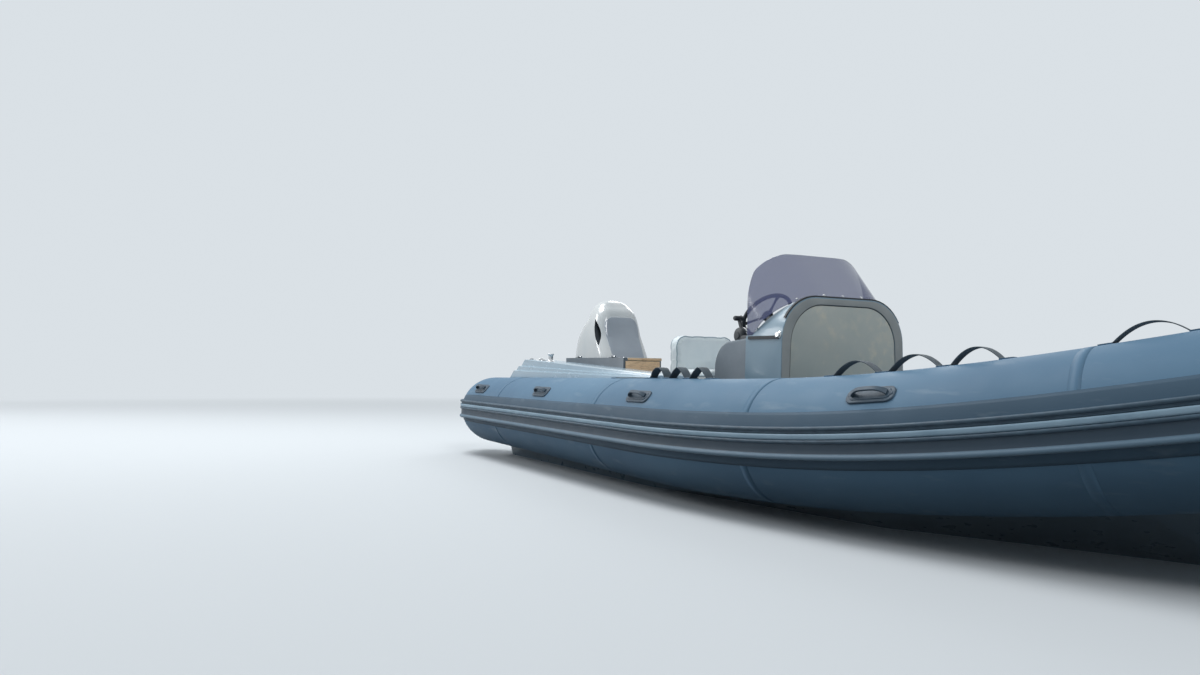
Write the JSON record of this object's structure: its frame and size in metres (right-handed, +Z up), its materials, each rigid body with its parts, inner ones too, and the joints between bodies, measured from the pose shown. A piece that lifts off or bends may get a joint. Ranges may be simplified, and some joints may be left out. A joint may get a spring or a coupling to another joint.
{
  "type": "rigid inflatable boat",
  "caption": "Rigid inflatable boat with a centre console, raked windscreen, helm seat, stern lockers, lifelines along the tubes and an outboard engine that steers and tilts.",
  "frame": {"origin": "on the centreline amidships, at the height of the waterline when afloat", "axes": "+X towards the bow, +Y to port, +Z up, -Y starboard"},
  "size_m": [6.4861, 2.68, 2.01],
  "materials": {
    "tube_fabric": "satin",
    "strake_rubber": "matte",
    "strake_pale": "matte",
    "gelcoat": "gloss",
    "gelcoat_grey": "gloss",
    "sole_foam": "matte",
    "door_panel": "satin",
    "pod_grey": "satin",
    "teak": "satin",
    "black_plastic": "matte",
    "wheel_black": "satin",
    "smoked_screen": "gloss",
    "seat_vinyl": "satin",
    "webbing": "matte",
    "engine_white": "gloss",
    "engine_grey": "satin",
    "engine_metal": "satin",
    "bracket_metal": "satin",
    "power_metal": "rough",
    "steel": "polished",
    "chrome": "polished"
  },
  "bodies": {
    "boat": {"tube_starboard": "tube_fabric", "tube_port": "tube_fabric", "strake_starboard": "strake_rubber", "strake_port": "strake_rubber", "strake_insert_starboard": "strake_pale", "strake_insert_port": "strake_pale", "hull": "gelcoat", "transom": "gelcoat", "coaming_starboard": "gelcoat", "coaming_port": "gelcoat", "deck_sole": "sole_foam", "locker_starboard": "gelcoat", "locker_port": "gelcoat", "bow_locker": "gelcoat", "locker_panel_starboard": "teak", "locker_panel_port": "teak", "console": "gelcoat_grey", "helm_pod": "pod_grey", "binnacle": "black_plastic", "throttle_box": "black_plastic", "throttle_lever": "black_plastic", "windscreen": "smoked_screen", "seat_base": "gelcoat", "seat_cushion": "seat_vinyl", "seat_backrest": "seat_vinyl", "engine_clamp": "bracket_metal", "handles_starboard": "black_plastic", "handles_port": "black_plastic", "lifeline_starboard": "webbing", "lifeline_port": "webbing", "stern_eyes": "steel", "bow_eye": "steel", "mooring_posts": "chrome"},
    "swivel": {"swivel_bracket": "bracket_metal"},
    "engine": {"engine_leg": "engine_metal", "engine_pan": "engine_grey", "engine_cowl": "engine_white", "engine_front_panel": "engine_grey", "power_unit": "power_metal"},
    "propeller": {"propeller": "bracket_metal"},
    "wheel": {"steering_wheel": "wheel_black"},
    "console_door": {"console_door": "door_panel"},
    "locker_lid_starboard": {"locker_lid_starboard": "gelcoat"},
    "locker_lid_port": {"locker_lid_port": "gelcoat"},
    "bow_locker_lid": {"bow_locker_lid": "gelcoat"}
  },
  "joints": [
    {"name": "engine_tilt", "type": "hinge", "parent": "boat", "child": "swivel", "pos_m": [-2.555, 0, 0.395], "axis": [0, 1, 0], "range_deg": [0, 65]},
    {"name": "engine_steer", "type": "hinge", "parent": "swivel", "child": "engine", "pos_m": [-2.7, 0, 0.2], "axis": [0, 0, 1], "range_deg": [-30, 30]},
    {"name": "wheel_turn", "type": "hinge", "parent": "boat", "child": "wheel", "pos_m": [-0.8, 0, 0.99], "axis": [0.7314, 0, -0.682], "range_deg": [-630, 630]},
    {"name": "propeller_spin", "type": "hinge", "parent": "engine", "child": "propeller", "pos_m": [-3.01, 0, -0.505], "axis": [1, 0, 0], "continuous": true},
    {"name": "console_door", "type": "hinge", "parent": "boat", "child": "console_door", "pos_m": [-0.112, 0.403, 0.6], "axis": [0, 0, 1], "range_deg": [0, 110]},
    {"name": "locker_lid_starboard", "type": "hinge", "parent": "boat", "child": "locker_lid_starboard", "pos_m": [-1.725, -0.707, 0.725], "axis": [1, 0, 0], "range_deg": [0, 95]},
    {"name": "locker_lid_port", "type": "hinge", "parent": "boat", "child": "locker_lid_port", "pos_m": [-1.725, 0.707, 0.725], "axis": [-1, 0, 0], "range_deg": [0, 95]},
    {"name": "bow_locker_lid", "type": "hinge", "parent": "boat", "child": "bow_locker_lid", "pos_m": [2.292, 0, 0.528], "axis": [0, 1, 0], "range_deg": [0, 95]}
  ],
  "couplings": [
    {"joint": "wheel_turn", "follows": "engine_steer", "ratio": 21}
  ]
}
